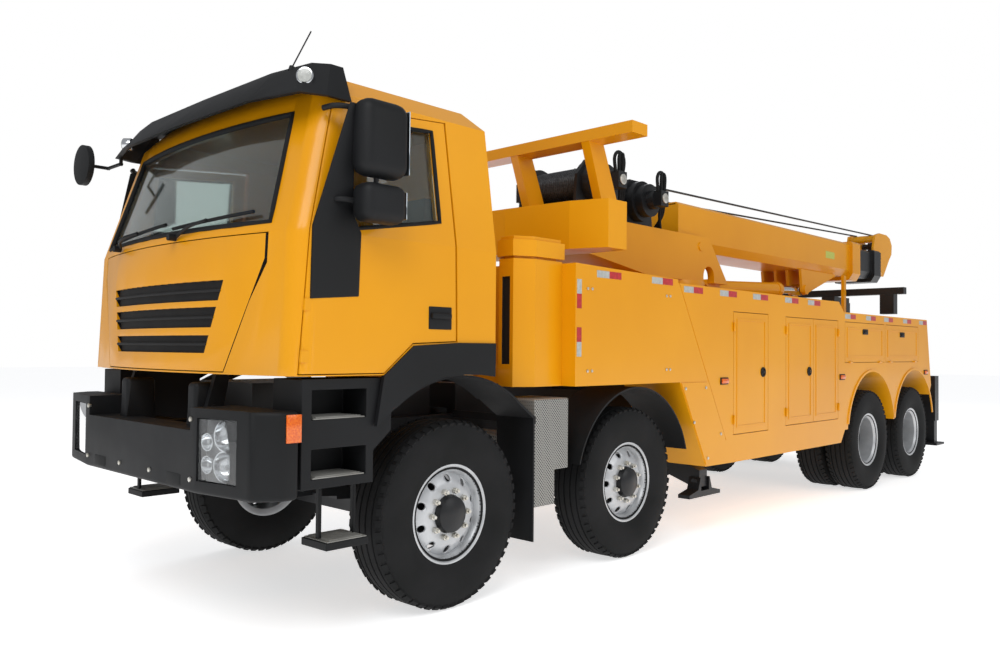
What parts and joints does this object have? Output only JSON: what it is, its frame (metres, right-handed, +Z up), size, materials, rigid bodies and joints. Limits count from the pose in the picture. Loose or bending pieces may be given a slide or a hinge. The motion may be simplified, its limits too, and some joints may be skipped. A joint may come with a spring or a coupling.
{
  "type": "rotator tow truck",
  "caption": "Heavy cab-over tow truck with a slewing telescopic recovery boom, winches, side lockers, outriggers and a folded underlift.",
  "frame": {"origin": "on the ground, half way along the truck and on its centre line", "axes": "+X to the truck's left, -Y forwards, +Z up"},
  "size_m": [2.9348, 11.48, 3.3298],
  "materials": {
    "yellow_paint": "gloss yellow paint",
    "black_paint": "satin black paint",
    "black_plastic": "fine grained black plastic",
    "wheel": "tyre rubber on a silver painted rim",
    "lamp_glass": "clear lamp lens",
    "clear_glass": "clear glass",
    "interior": "dark grey trim",
    "perforated_steel": "perforated grey steel",
    "tank_metal": "brushed aluminium",
    "rod_chrome": "hard chrome"
  },
  "bodies": {
    "root": {"chassis_frame": "black_paint", "axles": "black_paint", "leaf_springs": "black_paint", "engine": "black_paint", "bumper": "black_plastic", "front_lamps": "lamp_glass", "cab_steps": "black_plastic", "mudguards": "black_plastic", "silencer": "perforated_steel", "fuel_tank": "tank_metal", "body_left": "yellow_paint", "body_right": "yellow_paint", "deck": "yellow_paint"},
    "knuckle_1_left": {"knuckle_1_left": "black_paint"},
    "wheel_1_left": {"wheel_1_left": "wheel"},
    "knuckle_2_left": {"knuckle_2_left": "black_paint"},
    "wheel_2_left": {"wheel_2_left": "wheel"},
    "wheel_3_left": {"wheel_3_left": "wheel"},
    "wheel_4_left": {"wheel_4_left": "wheel"},
    "knuckle_1_right": {"knuckle_1_right": "black_paint"},
    "wheel_1_right": {"wheel_1_right": "wheel"},
    "knuckle_2_right": {"knuckle_2_right": "black_paint"},
    "wheel_2_right": {"wheel_2_right": "wheel"},
    "wheel_3_right": {"wheel_3_right": "wheel"},
    "wheel_4_right": {"wheel_4_right": "wheel"},
    "cab": {"cab_shell": "yellow_paint", "windscreen": "clear_glass", "sun_visor": "black_plastic", "cab_interior": "interior"},
    "front_flap": {"front_flap": "yellow_paint"},
    "cab_door_left": {"cab_door_left": "yellow_paint", "door_glass_left": "clear_glass", "mirror_left": "black_plastic"},
    "cab_door_right": {"cab_door_right": "yellow_paint", "door_glass_right": "clear_glass", "mirror_right": "black_plastic"},
    "locker_front_left": {"locker_front_left": "yellow_paint"},
    "locker_middle_1_left": {"locker_middle_1_left": "yellow_paint"},
    "locker_middle_2_left": {"locker_middle_2_left": "yellow_paint"},
    "locker_upper_1_left": {"locker_upper_1_left": "yellow_paint"},
    "locker_upper_2_left": {"locker_upper_2_left": "yellow_paint"},
    "locker_front_right": {"locker_front_right": "yellow_paint"},
    "locker_middle_1_right": {"locker_middle_1_right": "yellow_paint"},
    "locker_middle_2_right": {"locker_middle_2_right": "yellow_paint"},
    "locker_upper_1_right": {"locker_upper_1_right": "yellow_paint"},
    "locker_upper_2_right": {"locker_upper_2_right": "yellow_paint"},
    "turret": {"turret": "yellow_paint", "counterweight": "yellow_paint", "winches": "black_paint"},
    "boom_outer": {"boom_outer": "yellow_paint"},
    "boom_middle": {"boom_middle": "black_paint"},
    "boom_head": {"boom_head": "yellow_paint"},
    "lift_barrels": {"lift_barrels": "yellow_paint"},
    "lift_rods": {"lift_rods": "rod_chrome"},
    "outrigger_left": {"outrigger_left": "black_paint"},
    "rear_jack_left": {"rear_jack_left": "black_paint"},
    "outrigger_right": {"outrigger_right": "black_paint"},
    "rear_jack_right": {"rear_jack_right": "black_paint"},
    "underlift_arm": {"underlift_arm": "black_paint", "underlift_crossbar": "black_paint"}
  },
  "joints": [
    {"name": "steer_1_left", "type": "hinge", "parent": "root", "child": "knuckle_1_left", "pos_m": [0.838, -4.335, 0.56], "axis": [0, 0, 1], "range_deg": [-35, 35]},
    {"name": "spin_1_left", "type": "hinge", "parent": "knuckle_1_left", "child": "wheel_1_left", "pos_m": [1.02, -4.335, 0.56], "axis": [1, 0, 0], "continuous": true},
    {"name": "steer_2_left", "type": "hinge", "parent": "root", "child": "knuckle_2_left", "pos_m": [0.838, -2.535, 0.56], "axis": [0, 0, 1], "range_deg": [-21, 21]},
    {"name": "spin_2_left", "type": "hinge", "parent": "knuckle_2_left", "child": "wheel_2_left", "pos_m": [1.02, -2.535, 0.56], "axis": [1, 0, 0], "continuous": true},
    {"name": "spin_3_left", "type": "hinge", "parent": "root", "child": "wheel_3_left", "pos_m": [0.9125, 2.065, 0.56], "axis": [1, 0, 0], "continuous": true},
    {"name": "spin_4_left", "type": "hinge", "parent": "root", "child": "wheel_4_left", "pos_m": [0.9125, 3.465, 0.56], "axis": [1, 0, 0], "continuous": true},
    {"name": "steer_1_right", "type": "hinge", "parent": "root", "child": "knuckle_1_right", "pos_m": [-0.838, -4.335, 0.56], "axis": [0, 0, 1], "range_deg": [-35, 35]},
    {"name": "spin_1_right", "type": "hinge", "parent": "knuckle_1_right", "child": "wheel_1_right", "pos_m": [-1.02, -4.335, 0.56], "axis": [1, 0, 0], "continuous": true},
    {"name": "steer_2_right", "type": "hinge", "parent": "root", "child": "knuckle_2_right", "pos_m": [-0.838, -2.535, 0.56], "axis": [0, 0, 1], "range_deg": [-21, 21]},
    {"name": "spin_2_right", "type": "hinge", "parent": "knuckle_2_right", "child": "wheel_2_right", "pos_m": [-1.02, -2.535, 0.56], "axis": [1, 0, 0], "continuous": true},
    {"name": "spin_3_right", "type": "hinge", "parent": "root", "child": "wheel_3_right", "pos_m": [-0.9125, 2.065, 0.56], "axis": [1, 0, 0], "continuous": true},
    {"name": "spin_4_right", "type": "hinge", "parent": "root", "child": "wheel_4_right", "pos_m": [-0.9125, 3.465, 0.56], "axis": [1, 0, 0], "continuous": true},
    {"name": "cab_tilt", "type": "hinge", "parent": "root", "child": "cab", "pos_m": [0, -5.535, 1.2], "axis": [1, 0, 0], "range_deg": [0, 50]},
    {"name": "flap_lift", "type": "hinge", "parent": "cab", "child": "front_flap", "pos_m": [0, -5.625, 2.138], "axis": [-1, 0, 0], "range_deg": [0, 70]},
    {"name": "cab_door_left_swing", "type": "hinge", "parent": "cab", "child": "cab_door_left", "pos_m": [1.259, -5.458, 2], "axis": [0, 0, -1], "range_deg": [0, 70]},
    {"name": "cab_door_right_swing", "type": "hinge", "parent": "cab", "child": "cab_door_right", "pos_m": [-1.259, -5.458, 2], "axis": [0, 0, 1], "range_deg": [0, 70]},
    {"name": "locker_front_left_swing", "type": "hinge", "parent": "root", "child": "locker_front_left", "pos_m": [1.259, -1.115, 1.3575], "axis": [0, 0, -1], "range_deg": [0, 110]},
    {"name": "locker_middle_1_left_swing", "type": "hinge", "parent": "root", "child": "locker_middle_1_left", "pos_m": [1.259, -0.105, 1.3625], "axis": [0, 0, -1], "range_deg": [0, 110]},
    {"name": "locker_middle_2_left_swing", "type": "hinge", "parent": "root", "child": "locker_middle_2_left", "pos_m": [1.259, 1.115, 1.3625], "axis": [0, 0, 1], "range_deg": [0, 110]},
    {"name": "locker_upper_1_left_drop", "type": "hinge", "parent": "root", "child": "locker_upper_1_left", "pos_m": [1.259, 1.875, 1.44], "axis": [0, 1, 0], "range_deg": [0, 90]},
    {"name": "locker_upper_2_left_drop", "type": "hinge", "parent": "root", "child": "locker_upper_2_left", "pos_m": [1.259, 3.065, 1.44], "axis": [0, 1, 0], "range_deg": [0, 90]},
    {"name": "locker_front_right_swing", "type": "hinge", "parent": "root", "child": "locker_front_right", "pos_m": [-1.259, -1.115, 1.3575], "axis": [0, 0, 1], "range_deg": [0, 110]},
    {"name": "locker_middle_1_right_swing", "type": "hinge", "parent": "root", "child": "locker_middle_1_right", "pos_m": [-1.259, -0.105, 1.3625], "axis": [0, 0, 1], "range_deg": [0, 110]},
    {"name": "locker_middle_2_right_swing", "type": "hinge", "parent": "root", "child": "locker_middle_2_right", "pos_m": [-1.259, 1.115, 1.3625], "axis": [0, 0, -1], "range_deg": [0, 110]},
    {"name": "locker_upper_1_right_drop", "type": "hinge", "parent": "root", "child": "locker_upper_1_right", "pos_m": [-1.259, 1.875, 1.44], "axis": [0, -1, 0], "range_deg": [0, 90]},
    {"name": "locker_upper_2_right_drop", "type": "hinge", "parent": "root", "child": "locker_upper_2_right", "pos_m": [-1.259, 3.065, 1.44], "axis": [0, -1, 0], "range_deg": [0, 90]},
    {"name": "slew", "type": "hinge", "parent": "root", "child": "turret", "pos_m": [0, -0.385, 2.14], "axis": [0, 0, 1], "range_deg": [-150, 150]},
    {"name": "boom_luff", "type": "hinge", "parent": "turret", "child": "boom_outer", "pos_m": [0, -0.255, 2.6], "axis": [1, 0, 0], "range_deg": [0, 60]},
    {"name": "boom_extend_1", "type": "slide", "parent": "boom_outer", "child": "boom_middle", "axis": [0, 1, 0], "range_m": [0, 3.2]},
    {"name": "boom_extend_2", "type": "slide", "parent": "boom_middle", "child": "boom_head", "axis": [0, 1, 0], "range_m": [0, 3]},
    {"name": "lift_swing", "type": "hinge", "parent": "turret", "child": "lift_barrels", "pos_m": [0, 0.215, 2.222], "axis": [1, 0, 0], "range_deg": [0, 65]},
    {"name": "lift_stroke", "type": "slide", "parent": "lift_barrels", "child": "lift_rods", "axis": [0, 0.9989, 0.0469], "range_m": [0, 0.588]},
    {"name": "outrigger_left_slide", "type": "slide", "parent": "root", "child": "outrigger_left", "axis": [0.9563, 0, -0.2924], "range_m": [0, 0.95]},
    {"name": "rear_jack_left_slide", "type": "slide", "parent": "root", "child": "rear_jack_left", "axis": [0, 0, -1], "range_m": [0, 0.3]},
    {"name": "outrigger_right_slide", "type": "slide", "parent": "root", "child": "outrigger_right", "axis": [-0.9563, 0, -0.2924], "range_m": [0, 0.95]},
    {"name": "rear_jack_right_slide", "type": "slide", "parent": "root", "child": "rear_jack_right", "axis": [0, 0, -1], "range_m": [0, 0.3]},
    {"name": "underlift_fold", "type": "hinge", "parent": "root", "child": "underlift_arm", "pos_m": [0, 4.285, 0.76], "axis": [-1, 0, 0], "range_deg": [0, 100]}
  ],
  "couplings": [
    {"joint": "steer_1_right", "follows": "steer_1_left", "ratio": 1},
    {"joint": "steer_2_left", "follows": "steer_1_left", "ratio": 0.6},
    {"joint": "steer_2_right", "follows": "steer_1_left", "ratio": 0.6},
    {"joint": "lift_swing", "follows": "boom_luff", "ratio": 1.0635},
    {"joint": "lift_stroke", "follows": "boom_luff", "m_per_rad": 0.55227}
  ]
}
